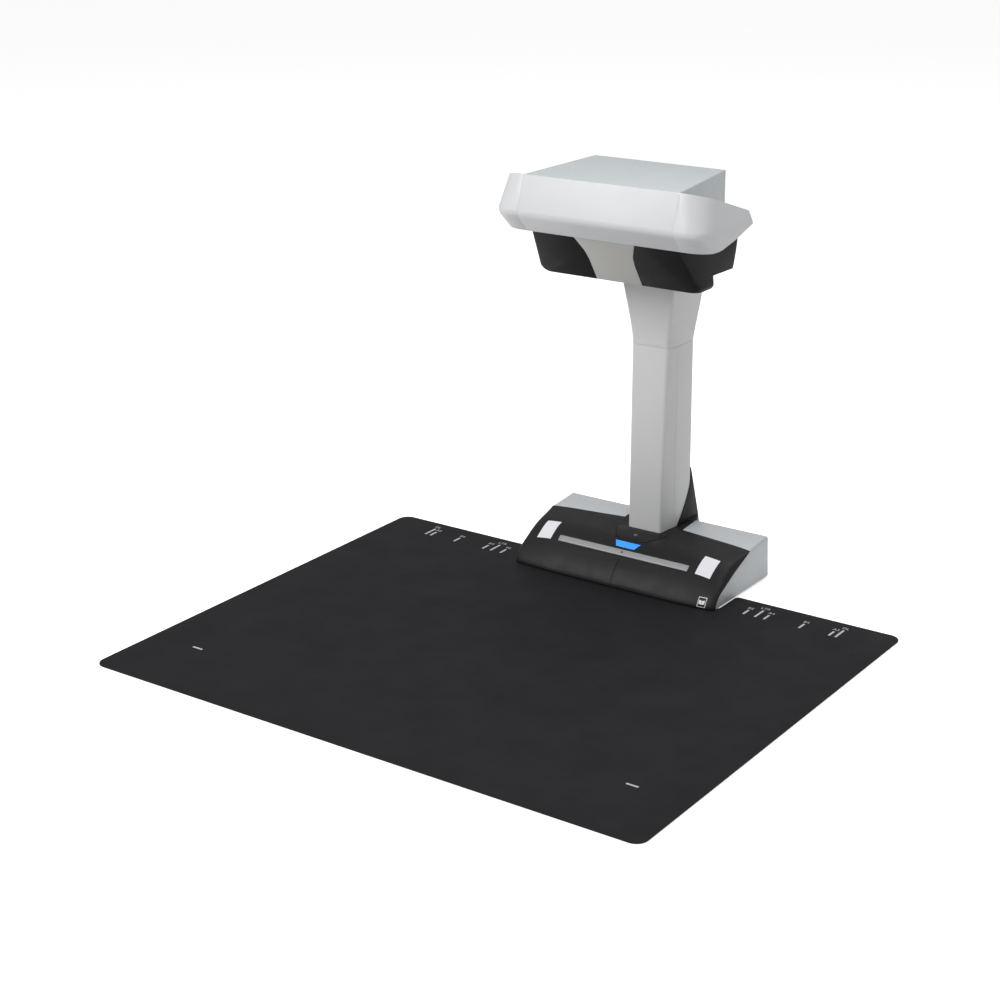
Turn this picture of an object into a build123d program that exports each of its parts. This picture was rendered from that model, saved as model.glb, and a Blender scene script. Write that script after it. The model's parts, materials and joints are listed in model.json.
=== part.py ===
from build123d import *
import os
from math import acos, cos, pi, radians, sin, sqrt, tan

# Overhead book scanner: a low base with a scan bar, a column, a head with a rotating camera unit, and a
# flat background pad that lies under the base's toe. Millimetres. +Z up, the scanner faces -Y. The shapes
# are laid out from the pad's rear edge (Y = 0) and saved about the centre of the footprint.

# ---- driving dimensions ----
PAD_WIDTH = 526.0
PAD_DEPTH = 416.0
PAD_THICK = 1.0
PAD_CORNER_R = 10.0
NOTCH_DEPTH = 33.0
NOTCH_GAP = 0.6
BASE_WIDTH = 210.0
BASE_BOTTOM = 1.6
BASE_REAR = 60.0
TAIL_REAR = 84.0
HEAD_TOP = 369.0
WALL = 2.0
FIT_GAP = 0.15
KEY_GAP = 0.35
SHELL_EDGE = 2.0

# ---- base outlines, (y, z), from the toe to the top ----
HALF_BASE = BASE_WIDTH / 2
FLAT_HALF = 60.0
TOP_FRONT_Y = 26.0
MIDDLE_OUTLINE = [(-43, 3), (-39.5, 9), (-23.4, 24.8), (-10.9, 33.2), (8, 36.4), (TOP_FRONT_Y, 37.6)]
SIDE_OUTLINE = [(-36, 3), (-32.6, 9.3), (-20.7, 16.5), (-3.5, 24.9), (14, 32.0), (TOP_FRONT_Y, 37.4)]
SHOULDER_X = 97.0
SHOULDER_SHARE = 0.32
END_WALL_DEPTH = 9.0
REAR_TOP_Z = 40.0
REAR_LEAN = 2.5
INNER_HALF = 31.0
SEAM_INNER_Y = 32.7
SEAM_OUTER_Y = 23.4
SIDE_WALL_X = HALF_BASE - 2.2
SCREW_SPOTS = [(-70, -22), (70, -22), (-94, 48), (94, 48)]
FOOT_SPOTS = [(-88, -20), (88, -20), (-80, 44), (80, 44)]

# ---- keys, patches and lamp on the front ----
BAR_HALF = 68.0
BAR_FRONT_Y = -23.4
BAR_BACK_Y = -18.9
PATCH_X = (76.0, 91.0)
PATCH_Y = (-23.3, -4.6)
LAMP_BACK = (13.2, -10.9)
LAMP_FRONT = (9.5, -16.7)
STOP_OUTLINE = [(25, 14.6), (24, 7), (16, -6.4)]
STOP_NOSE_Y = -9.6

# ---- column: each section is (front half-width, front y, seam half-width, rear half-width, rear y) ----
COLUMN_FOOT_Z = 31.0
COLUMN_TOP_Z = 208.0
COLUMN_REAR_Y = 64.5
COLUMN_FOOT = (17.0, 15.6, 20.0, 21.0, COLUMN_REAR_Y)
COLUMN_JOINT = (18.2, 20.8, 20.8, 21.0, COLUMN_REAR_Y)
NECK_SECTIONS = {235.0: (21.6, 19.2, 23.8, 26.2, 64.2), 262.0: (26.1, 16.4, 28.4, 31.4, 62.4),
                 290.0: (30.0, 14.2, 32.0, 34.6, 56.0), 312.0: (32.0, 13.0, 34.0, 36.0, 46.5),
                 328.0: (33.0, 12.0, 35.0, 36.4, 41.5)}
REAR_CORNER = 5.5
FRONT_CORNER = 2.5
SPLIT_Y = 34.0
NECK_TOP_Z = max(NECK_SECTIONS)
FIN_TOP_Z = 88.0
FIN_BASE_Z = 38.0
FIN_BASE_REAR = 79.4
SPINE_HALF = 13.0
SPINE_Y = (24.0, 40.0)
SPINE_TOP_Z = 303.0

# ---- sockets in the fin ----
SOCKET_FACE_Y = 78.0
DC_X = -13.0
DC_Z = 13.5
USB_X = 10.5
USB_Z = 14.0

# ---- head ----
HEAD_FRONT_Y = -62.5
RIDGE_Y = -73.4
RIDGE_Z = 333.5
RIDGE_SOFT = 4.0
VISOR_TOP_Z = 366.5
VISOR_LOW_Z = 317.0
VISOR_LOW_Y = -57.5
VISOR_LOW_HALF = 104.0
VISOR_UNDERSIDE = [(-90, 300), (-50, 316.8), (-20, 323.6), (7.8, 332.4)]
VISOR_TOP_HALF = 100.0
VISOR_LOW_CORNER = 21.0
VISOR_TOP_CORNER = 23.0
VISOR_TAIL = (3.0, 344.0)
BOX_LOW_Z = 325.2
HEAD_BEND_Z = 306.0
HEAD_LOW_REAR_Y = 26.0
RIDGE_HALF = 105.8
VISOR_SEAM_X = 76.0
BOX_REAR_HALF = 65.3
BOX_REAR_Y = 32.0
CHIN_Z = 276.4
CHIN_FRONT_Y = -30.2
CHIN_HALF = 81.3
CHIN_LEAN = 0.643
CHIN_ROUND = 6.5
CHIN_CORNER = 5.5
TAPER_Z = 281.0
FRONT_TAPER = 0.19
FLARE_Z = 288.0
HOUSING_FLARE = 0.42
CHIN_BACK_Y = -12.0
HOUSING_LIP = 5.0
UNDERSIDE_Z = 289.0
BAND_OUTLINE = [(22.6, 270), (22.6, 296), (23.9, 304), (30.0, 317), (34.4, 326)]

# ---- camera unit ----
AXIS_Y = -8.0
AXIS_Z = 300.0
DRUM_R = 16.0
DRUM_WALL = 1.8
DRUM_HALF = 22.0
DRUM_FLAT = 13.5
SHAFT_R = 3.0
RUN_GAP = 0.05
BRACKET_X = (31.0, 33.0)
GEAR_MODULE = 0.6
GEAR_TEETH = 32
PINION_TEETH = 14
GEAR_X = (23.5, 27.5)
MESH_ANGLE = 50.0
FRAME_Z = (303.0, 305.0)

SHIFT_Y = (PAD_DEPTH - TAIL_REAR) / 2
BIG = 400.0

os.makedirs("parts", exist_ok=True)


def save(name, shape):
    """Writes one sub-part, moved so that the origin is under the centre of the whole footprint."""
    export_step(Pos(0, SHIFT_Y, 0) * shape, f"parts/{name}.step")


def block(x, y, z):
    """A box from its limits along each axis."""
    size = [high - low for low, high in (x, y, z)]
    middle = [(high + low) / 2 for low, high in (x, y, z)]
    return Pos(*middle) * Box(*size)


def rod(radius, x, y, z, bore=0.0):
    """A cylinder along X between two x positions, with an optional bore."""
    length = x[1] - x[0]
    solid = Cylinder(radius, length)
    if bore:
        solid -= Cylinder(bore, length + 2)
    return Pos((x[0] + x[1]) / 2, y, z) * Rot(0, 90, 0) * solid


def post(radius, x, y, z, bore=0.0):
    """A cylinder along Z between two z positions, with an optional bore."""
    solid = Cylinder(radius, z[1] - z[0])
    if bore:
        solid -= Cylinder(bore, z[1] - z[0] + 2)
    return Pos(x, y, (z[0] + z[1]) / 2) * solid


def plan(points, z):
    """A prism over an outline given in plan."""
    face = make_face(Polyline(*points, close=True))
    return extrude(Pos(0, 0, z[0]) * face, z[1] - z[0])


def profile(points, x):
    """A prism along X over an outline given as (y, z)."""
    face = make_face(Polyline(*points, close=True))
    return extrude(Plane.YZ.offset(x[0]) * face, x[1] - x[0])


def mirrored(shape):
    """The same piece on the other side of the object."""
    return mirror(shape, Plane.YZ)


def both(shape):
    """The piece and its mirror image, kept as two solids."""
    return Compound([*shape.solids(), *mirrored(shape).solids()])


def group(solids):
    """Several solids that share one node."""
    return Compound([part for solid in solids for part in solid.solids()])


# ---- base ----

def side_share(x):
    """Share of the side outline in the section at x: a slow fall outward, then a rounded shoulder."""
    out = max(0.0, min(x, SHOULDER_X) - FLAT_HALF) / (SHOULDER_X - FLAT_HALF)
    turn = max(0.0, x - SHOULDER_X) / (HALF_BASE - SHOULDER_X)
    return SHOULDER_SHARE * out ** 2 + (1 - SHOULDER_SHARE) * (1 - sqrt(1 - turn ** 2))


def base_section(x, inset):
    """Cross-section of the base front, a closed face in the YZ plane at distance x from the middle."""
    t = side_share(abs(x))
    curve = [(ym + t * (ys - ym) + inset, zm + t * (zs - zm) - inset)
             for (ym, zm), (ys, zs) in zip(MIDDLE_OUTLINE, SIDE_OUTLINE)]
    toe = (curve[0][0], BASE_BOTTOM - (10.0 if inset else 0.0))
    rear_top = (BASE_REAR - 1, curve[-1][1])
    rear_low = (BASE_REAR - 1, toe[1])
    front = Spline(*curve)
    return Plane.YZ.offset(x) * make_face(front + Polyline(curve[-1], rear_top, rear_low, toe, curve[0]))


def base_form(inset=0.0):
    """The crowned body that the front cover is a skin of: flat in the middle, rounded at the sides."""
    middle = extrude(base_section(-FLAT_HALF, inset), 2 * FLAT_HALF)
    fall_steps = [FLAT_HALF, FLAT_HALF + 12, FLAT_HALF + 24, SHOULDER_X]
    shares = (0, 0.35, 0.6, 0.8, 0.92, 0.985)
    turn_steps = [SHOULDER_X + (HALF_BASE - SHOULDER_X) * share for share in shares]
    fall = loft([base_section(x, inset) for x in fall_steps])
    shoulder = loft([base_section(x, inset) for x in turn_steps], ruled=True)
    side = fall + shoulder
    return middle + side + mirrored(side)


def lowered(shape, depth):
    """The shape moved straight down."""
    return Pos(0, 0, -depth) * shape


def front_zone(gap=0.0):
    """Plan of the black front cover: over the side walls' edges, with a tongue round the column."""
    x_side = HALF_BASE - gap
    x_in = INNER_HALF - gap
    right = [(x_side, SEAM_OUTER_Y - gap), (SIDE_WALL_X, SEAM_OUTER_Y - gap), (x_in, SEAM_INNER_Y - gap),
             (x_in, 56.0)]
    left = [(-x, y) for x, y in reversed(right)]
    return plan([(-x_side, -60), (x_side, -60)] + right + left, (0, 60))


def stop_outline(gap=0.0):
    """Plan of the stop key: a shield in front of the column's foot, with a rounded nose."""
    x1, y1 = STOP_OUTLINE[0]
    x2, y2 = STOP_OUTLINE[1]
    x3, y3 = STOP_OUTLINE[2]
    sides = Polyline((-x3 - gap, y3 - gap), (-x2 - gap, y2), (-x1 - gap, y1 + gap), (x1 + gap, y1 + gap),
                     (x2 + gap, y2), (x3 + gap, y3 - gap))
    nose = ThreePointArc((x3 + gap, y3 - gap), (0, STOP_NOSE_Y - gap), (-x3 - gap, y3 - gap))
    return extrude(make_face(sides + nose), 60)


def bar_prism(gap=0.0):
    return block((-BAR_HALF - gap, BAR_HALF + gap), (BAR_FRONT_Y - gap, BAR_BACK_Y + gap), (5, 60))


def lamp_prism(gap=0.0):
    xb, yb = LAMP_BACK
    xf, yf = LAMP_FRONT
    return plan([(-xf - gap, yf - gap), (xf + gap, yf - gap), (xb + gap, yb + gap), (-xb - gap, yb + gap)],
                (10, 60))


def patch_prism():
    return both(block(PATCH_X, PATCH_Y, (5, 60)))


def base_parts(form, column):
    """The covers, keys and lamp of the base, all cut from the one crowned form."""
    ends = both(block((SIDE_WALL_X - FIT_GAP - WALL, HALF_BASE), (-60, 60), (0, 60)))
    skin = (form - base_form(WALL)) + ((form & ends) - lowered(form, END_WALL_DEPTH))
    skin &= front_zone(FIT_GAP)
    skin -= both(Pos(-FIT_GAP, -FIT_GAP, FIT_GAP) * side_prism(SIDE_WALL_X))
    skin -= bar_prism(KEY_GAP)
    skin -= stop_outline(KEY_GAP)
    skin -= lamp_prism(0.05)
    skin -= patch_prism() - lowered(form, 1.0)
    skin -= column
    seam = block((-0.3, 0.3), (-60, BAR_FRONT_Y - 3), (0, 60)) - lowered(form, 0.6)
    skin -= seam
    save("front_cover", skin)
    patches = (form & patch_prism()) - lowered(form, 0.9)
    save("calibration_patches", patches)

    bar = (lowered(form, -0.3) & bar_prism()) - lowered(form, 2.4)
    stems = both(block((46, 54), (-22.5, -19.8), (17.6, 24)))
    save("scan_button", bar + (stems - lowered(form, 1.5)))
    stop = (lowered(form, -0.3) & stop_outline()) - lowered(form, 2.2)
    stop -= column
    stem = block((-3, 3), (-4, 2), (17.6, 33))
    save("stop_button", stop + (stem - lowered(form, 1.0)))
    lamp = (form & lamp_prism()) - lowered(form, 3.0)
    save("indicator_lens", lamp)


def side_prism(x):
    """The base's side outline, from the toe to the rear wall, as a prism from x out to the side."""
    toe = (SIDE_OUTLINE[0][0], BASE_BOTTOM)
    rear_top = (BASE_REAR - REAR_LEAN, REAR_TOP_Z)
    rear_low = (BASE_REAR, BASE_BOTTOM)
    lines = Polyline(SIDE_OUTLINE[-1], rear_top, rear_low, toe, SIDE_OUTLINE[0])
    return extrude(Plane.YZ.offset(x) * make_face(Spline(*SIDE_OUTLINE) + lines), HALF_BASE - x)


def silver_cover():
    """Right-hand rear cover: a thin side wall with the base's side outline, a top and a rear wall."""
    solid = side_prism(INNER_HALF)
    outer = solid.faces().sort_by(Axis.X)[-1]
    rear = [e for e in outer.edges() if e.center().Y > 30 and e.center().Z > 10]
    across = [e for e in solid.edges().filter_by(Axis.X) if e.center().Y > 50 and e.center().Z > 30]
    solid = fillet(rear + across, SHELL_EDGE + 0.5)
    cavity = profile([(-60, BASE_BOTTOM - 1), (-60, 3), (10, 33.6),
                      (BASE_REAR - REAR_LEAN - WALL, REAR_TOP_Z - WALL), (BASE_REAR - WALL, BASE_BOTTOM - 1)],
                     (INNER_HALF - 1, SIDE_WALL_X))
    front = plan([(0, -60), (SIDE_WALL_X, -60), (SIDE_WALL_X, SEAM_OUTER_Y), (INNER_HALF, SEAM_INNER_Y),
                  (0, SEAM_INNER_Y)], (0, 60))
    return solid - cavity - front


def base_plate():
    plate = block((-101, 101), (-32, 55), (BASE_BOTTOM, BASE_BOTTOM + 2))
    plate = fillet(plate.edges().filter_by(Axis.Z), 4)
    holes = [post(1.6, x, y, (0, 8)) for x, y in SCREW_SPOTS]
    feet = [post(6.2, x, y, (0, BASE_BOTTOM + 1)) for x, y in FOOT_SPOTS]
    return plate - holes - feet



def base_inside():
    """What the base holds: ballast, boards, switches, feet and screws."""
    floor = BASE_BOTTOM + 2
    save("base_plate", base_plate())
    save("rubber_feet", group(post(6, x, y, (0, BASE_BOTTOM + 1)) for x, y in FOOT_SPOTS))
    screws = [post(3, x, y, (BASE_BOTTOM - 1.2, BASE_BOTTOM)) + post(1.5, x, y, (BASE_BOTTOM, floor + 4))
              for x, y in SCREW_SPOTS]
    save("base_screws", group(screws))
    save("ballast_weights", both(block((24, 88), (12, 38), (floor, floor + 9))))
    board = block((30, 92), (4, 46), (20, 21.6))
    legs = [(34, 8), (88, 8), (34, 43), (88, 43)]
    chips = [block((50, 62), (18, 30), (21.6, 23.4)), block((70, 78), (12, 20), (21.6, 23))]
    save("main_board", board + chips)
    save("board_standoffs", group(post(2.5, x, y, (floor, 20)) for x, y in legs))
    save("key_board", block((-60, 60), (-26, 4), (11, 12.4)))
    switch = [block((46, 54), (-24, -18), (12.4, 16.2)), block((-54, -46), (-24, -18), (12.4, 16.2)),
              block((-3, 3), (-4, 2), (12.4, 16.2))]
    save("key_switches", group(switch))
    save("indicator_led", block((-3, 3), (-16, -11), (12.4, 18)))


# ---- column ----

def column_section(z, sizes, inset=0.0):
    """Plan section of the column: flat front, sides that open slightly to the rear, rounded corners."""
    front_half, front_y, seam_half, rear_half, rear_y = sizes
    f = front_half - inset
    s = seam_half - inset
    r = rear_half - inset
    y_front = front_y + inset
    y_rear = rear_y - inset
    corner = REAR_CORNER - inset
    edge = FRONT_CORNER - inset
    opening = (s - f) * edge / (SPLIT_Y - y_front)
    k = 1 - sqrt(0.5)
    front_bend = (f - k * edge, y_front + k * edge)
    side_start = (f + opening, y_front + edge)
    half = ThreePointArc((f - edge, y_front), front_bend, side_start)
    half += Polyline(side_start, (s, SPLIT_Y), (r, y_rear - corner))
    half += Spline((r, y_rear - corner), (r - corner * 0.3, y_rear - corner * 0.3), (r - corner, y_rear))
    rear = Line((r - corner, y_rear), (corner - r, y_rear))
    front = Line((edge - f, y_front), (f - edge, y_front))
    return Pos(0, 0, z) * make_face(half + rear + mirror(half, Plane.YZ) + front)


def column_form(inset=0.0):
    """The straight column from its foot to the joint line."""
    low = column_section(COLUMN_FOOT_Z, COLUMN_FOOT, inset)
    high = column_section(COLUMN_TOP_Z, COLUMN_JOINT, inset)
    return loft([low, high], ruled=True)


def neck_form(inset=0.0):
    """The neck: it widens upward and its rear leans forward into the head."""
    sections = {COLUMN_TOP_Z: COLUMN_JOINT, **NECK_SECTIONS}
    return loft([column_section(z, sizes, inset) for z, sizes in sections.items()])


def fin_curve_region():
    """Side region above the curve where the grey rear shell meets the black fin."""
    foot = (36.5, FIN_BASE_Z - 4)
    apex = (COLUMN_REAR_Y, FIN_TOP_Z)
    arc = ThreePointArc(foot, (54.0, 58.5), apex)
    lines = Polyline(apex, (100, FIN_TOP_Z), (100, BIG), (-10, BIG), (-10, foot[1]), foot)
    return extrude(Plane.YZ.offset(-60) * make_face(arc + lines), 120)


def column_parts(column, region):
    wall = column - column_form(WALL)
    front_half = block((-60, 60), (-60, SPLIT_Y - 0.05), (0, BIG))
    rear_half = block((-60, 60), (SPLIT_Y + 0.05, 100), (0, BIG))
    save("column_front_shell", wall & front_half)
    save("column_rear_shell", (wall & rear_half) & region)
    neck = neck_form() - neck_form(WALL)
    lid = neck_form() & block((-60, 60), (-60, 100), (NECK_TOP_Z - WALL, NECK_TOP_Z + 1))
    neck = (neck + lid) & block((-60, 60), (-60, 100), (COLUMN_TOP_Z + 0.2, NECK_TOP_Z + 1))
    rear_y = BOX_REAR_Y + 0.1
    head_space = profile([(-60, UNDERSIDE_Z + 0.3), (HEAD_LOW_REAR_Y + 0.1, UNDERSIDE_Z + 0.3),
                          (rear_y, HEAD_BEND_Z), (rear_y, 380), (-60, 380)], (-60, 60))
    save("neck_cover", neck - head_space)


def spine_parts():
    x = (-SPINE_HALF, SPINE_HALF)
    floor = BASE_BOTTOM + 2
    tube = block(x, SPINE_Y, (floor, SPINE_TOP_Z))
    tube -= block((x[0] + 1.6, x[1] - 1.6), (SPINE_Y[0] + 1.6, SPINE_Y[1] - 1.6), (0, BIG))
    flange = block((-22, 22), (SPINE_Y[0] - 6, SPINE_Y[1] + 6), (floor, floor + 3))
    flange -= block((x[0] + 1.6, x[1] - 1.6), (SPINE_Y[0] + 1.6, SPINE_Y[1] - 1.6), (0, 20))
    save("spine_column", tube + flange)
    save("column_flat_cable", block((-8, 8), (35.0, 35.6), (12, SPINE_TOP_Z - 8)))


# ---- fin with the connectors ----

def fin_parts(region):
    """Black fin behind the column: a hollow cover with a recess for the sockets."""
    def layer(z, x_front, y_front, x_rear, y_rear):
        edge = 3.5
        half = [(x_front, y_front), (x_rear, y_rear - edge), (x_rear - 0.3 * edge, y_rear - 0.3 * edge),
                (x_rear - edge, y_rear)]
        points = half + [(-x, y) for x, y in reversed(half)]
        return Pos(0, 0, z) * make_face(Polyline(*points, close=True))

    def form(inset):
        cut = 2 * inset
        front_half = INNER_HALF - 0.2 - inset
        rear = FIN_BASE_REAR - inset
        low = loft([layer(BASE_BOTTOM - cut, front_half, 56.2 - cut, 23.5 - inset, TAIL_REAR - inset),
                    layer(FIN_BASE_Z - inset, front_half, 56.2 - cut, 21.2 - inset, rear)],
                   ruled=True)
        high = loft([layer(FIN_BASE_Z - inset, 21.6 - inset, 36.6 - cut, 21.2 - inset, rear),
                     layer(FIN_TOP_Z, 21.1 - inset, 50.0 - cut, 21.0 - inset, COLUMN_REAR_Y - inset)],
                    ruled=True)
        return low, high

    low, high = form(0.0)
    inner_low, inner_high = form(WALL)
    fin = low + (high - region)
    fin -= inner_low
    fin -= inner_high
    recess = block((-18.5, 18.5), (SOCKET_FACE_Y + 1.6, 90), (7, 25))
    fin -= recess
    panel = block((-20, 20), (SOCKET_FACE_Y, SOCKET_FACE_Y + 1.5), (5, 27))
    dc_hole = Pos(DC_X, SOCKET_FACE_Y, DC_Z) * Rot(90, 0, 0) * Cylinder(4.6, 10)
    usb_hole = block((USB_X - 6.3, USB_X + 6.3), (70, 90), (USB_Z - 5.8, USB_Z + 5.8))
    lock = block((-3.6, 3.6), (SOCKET_FACE_Y - 1, 95), (20.5, 23.5))
    panel -= dc_hole
    panel -= usb_hole
    save("socket_panel", panel - lock)
    save("tail_cover", fin - panel)
    plate = block((-4.1, 4.1), (SOCKET_FACE_Y - 1.6, SOCKET_FACE_Y - 0.1), (18.5, 25.5))
    save("lock_slot_plate", plate - lock)


def socket_parts():
    board = block((-19, 19), (60, SOCKET_FACE_Y - 0.2), (5.0, 6.6))
    save("socket_board", board)
    body = block((DC_X - 5, DC_X + 5), (64, SOCKET_FACE_Y - 0.1), (6.6, 19.5))
    collar = Pos(DC_X, SOCKET_FACE_Y + 0.5, DC_Z) * Rot(90, 0, 0) * Cylinder(4.5, 1.4)
    bore = Pos(DC_X, SOCKET_FACE_Y - 3.8, DC_Z) * Rot(90, 0, 0) * Cylinder(3.15, 10)
    save("dc_inlet", (body + collar) - bore)
    shell = block((USB_X - 6, USB_X + 6), (64, SOCKET_FACE_Y + 1), (USB_Z - 5.5, USB_Z + 5.5))
    cavity = block((USB_X - 5.3, USB_X + 5.3), (66, SOCKET_FACE_Y + 2), (USB_Z - 4.8, USB_Z + 4.8))
    tongue = block((USB_X - 3, USB_X + 3), (65.5, SOCKET_FACE_Y - 1), (USB_Z + 2.2, USB_Z + 4.2))
    feet = block((USB_X - 4.5, USB_X + 4.5), (65, 75), (6.6, USB_Z - 5.5))
    save("usb_socket", (shell - cavity) + tongue + feet)


# ---- head ----

def rounded_rect(half, front, rear, radius, z):
    """Plan section with rounded front corners and square rear corners."""
    k = radius * (1 - sqrt(0.5))
    left = Line((-half, rear), (-half, front + radius))
    right = Line((half, front + radius), (half, rear))
    back = Line((half, rear), (-half, rear))
    across = Line((-half + radius, front), (half - radius, front))
    arc_left = ThreePointArc((-half, front + radius), (-half + k, front + k), (-half + radius, front))
    arc_right = ThreePointArc((half - radius, front), (half - k, front + k), (half, front + radius))
    return Pos(0, 0, z) * make_face(left + arc_left + across + arc_right + right + back)


def ridge_drop(z, below, above):
    """How far the visor lies inside its ridge at height z, from its two flank slopes, rounded between."""
    d = z - RIDGE_Z
    if abs(d) >= RIDGE_SOFT:
        return above * d if d > 0 else -below * d
    return (below + above) * (d * d + RIDGE_SOFT ** 2) / (4 * RIDGE_SOFT) + (above - below) / 2 * d


def visor_form(inset=0.0):
    """Off-white visor body: it swells from its lower edge to a soft ridge, then leans back to the top."""
    low_rise = RIDGE_Z - VISOR_LOW_Z
    top_rise = VISOR_TOP_Z - RIDGE_Z
    front_slopes = ((VISOR_LOW_Y - RIDGE_Y) / low_rise, (HEAD_FRONT_Y - RIDGE_Y) / top_rise)
    side_slopes = ((RIDGE_HALF - VISOR_LOW_HALF) / low_rise, (RIDGE_HALF - VISOR_TOP_HALF) / top_rise)
    ridge = [RIDGE_Z + RIDGE_SOFT * k / 4 for k in range(-4, 5)]
    levels = [VISOR_LOW_Z - 4 * inset, *ridge, VISOR_TOP_Z + 0.1]
    sections = []
    for z in levels:
        front = RIDGE_Y + ridge_drop(z, *front_slopes) + inset
        half = RIDGE_HALF - ridge_drop(z, *side_slopes) - inset
        squarer = (VISOR_LOW_CORNER - VISOR_TOP_CORNER) * max(0.0, z - RIDGE_Z) / top_rise
        sections.append(rounded_rect(half, front, 60, VISOR_LOW_CORNER - squarer - inset, z))
    return loft(sections, ruled=True)


def visor_limits(inset=0.0):
    """Side-view limits of the visor: its top falls and its underside rises to a tail that leans forward."""
    i = inset
    underside = [(y - (i if y > 0 else 0), z + i) for y, z in VISOR_UNDERSIDE]
    return profile(underside + [(VISOR_TAIL[0] - i, VISOR_TAIL[1] - i), (HEAD_FRONT_Y, VISOR_TOP_Z - i),
                                (-90, VISOR_TOP_Z - i)], (-120, 120))


def box_form(inset=0.0):
    """Silver top box: a low box, a little narrower at the rear, with a nearly flat top."""
    i = inset
    outline = [(-76 + i, HEAD_FRONT_Y + i), (76 - i, HEAD_FRONT_Y + i), (BOX_REAR_HALF - i, BOX_REAR_Y - i),
               (-BOX_REAR_HALF + i, BOX_REAR_Y - i)]
    low = plan(outline, (BOX_LOW_Z - 10 * (i > 0), HEAD_TOP))
    top = profile([(-80, 300), (50, 300), (50, HEAD_TOP - i), (BOX_REAR_Y, HEAD_TOP - i),
                   (HEAD_FRONT_Y, VISOR_TOP_Z - i), (-80, VISOR_TOP_Z - i)], (-120, 120))
    return low & top


def lower_form(inset=0.0):
    """Lower head housing: it narrows downward, and its front chin hangs below the rest."""
    i = inset

    def layer(z):
        front = CHIN_FRONT_Y - CHIN_LEAN * (z - CHIN_Z) + i
        rise = max(0.0, min(CHIN_ROUND, z - CHIN_Z - i))
        tuck = CHIN_ROUND - sqrt(CHIN_ROUND ** 2 - (CHIN_ROUND - rise) ** 2)
        half = CHIN_HALF - tuck - i - FRONT_TAPER * max(0.0, z - TAPER_Z)
        rear_half = CHIN_HALF - tuck - i + HOUSING_FLARE * max(0.0, z - FLARE_Z)
        turns = [radians(angle) for angle in (0, 30, 60, 90)]
        right = [(half - CHIN_CORNER * (1 - sin(a)), front + CHIN_CORNER * (1 - cos(a))) for a in turns]
        right.append((rear_half, 24.0 - i))
        points = right + [(-x, y) for x, y in reversed(right)]
        return Pos(0, 0, z) * make_face(Polyline(*points, close=True))

    rounding = [CHIN_Z + i + CHIN_ROUND * (1 - cos(pi / 2 * k / 5)) for k in range(6)]
    solid = loft([layer(z) for z in sorted([*rounding, TAPER_Z, FLARE_Z, RIDGE_Z])], ruled=True)
    side = profile([(-80, 270), (CHIN_BACK_Y - i, 270), (CHIN_BACK_Y - i, UNDERSIDE_Z + i),
                    (19 - i, UNDERSIDE_Z + i), (8 - i, 325), (8 - i, 340), (-80, 340)], (-120, 120))
    return solid & side


def rear_form(inset=0.0):
    """Closure behind the lower housing: a wedge that carries the top box's rear wall down to the neck."""
    i = inset
    low = UNDERSIDE_Z + 0.4
    side = profile([(8.2 + i, 325 + 2 * i), (BOX_REAR_Y - i, 325 + 2 * i), (BOX_REAR_Y - i, HEAD_BEND_Z),
                    (HEAD_LOW_REAR_Y - i, low + i), (19.3 + i, low + i)], (-120, 120))
    sides = plan([(-78 + i, 0), (78 - i, 0), (76 - i, 19.5), (BOX_REAR_HALF - i, BOX_REAR_Y),
                  (i - BOX_REAR_HALF, BOX_REAR_Y), (i - 76, 19.5)], (270, 340))
    return side & sides


def band_zone(gap=0.0):
    """Front-view outline of the grey centre band: waisted, wider where it meets the visor."""
    half = [(x - gap, z) for x, z in BAND_OUTLINE]
    points = half + [(-x, z) for x, z in reversed(half)]
    return extrude(Plane.XZ.offset(-CHIN_BACK_Y) * make_face(Polyline(*points, close=True)), 60)


def visor_parts():
    outside = visor_form() & visor_limits()
    skin = outside - (visor_form(WALL) & visor_limits(WALL)) - box_form(-0.1) - lower_form(-0.1)
    half = VISOR_SEAM_X - 0.1
    middle = block((-half, half), (-90, HEAD_FRONT_Y + 14), (300, VISOR_TOP_Z - 0.5))
    front = (skin - block((-120, 120), (-57, 60), (320, 380))) & middle
    save("visor_front", front.solids().sort_by(SortBy.VOLUME)[-1])
    cap_zone = block((VISOR_SEAM_X, 120), (-90, 60), (300, 380))
    cap_zone += block((60, 120), (HEAD_FRONT_Y + 14.1, 60), (300, 380))
    cap = skin & cap_zone
    save("visor_end_right", cap)
    save("visor_end_left", mirrored(cap))


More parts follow.
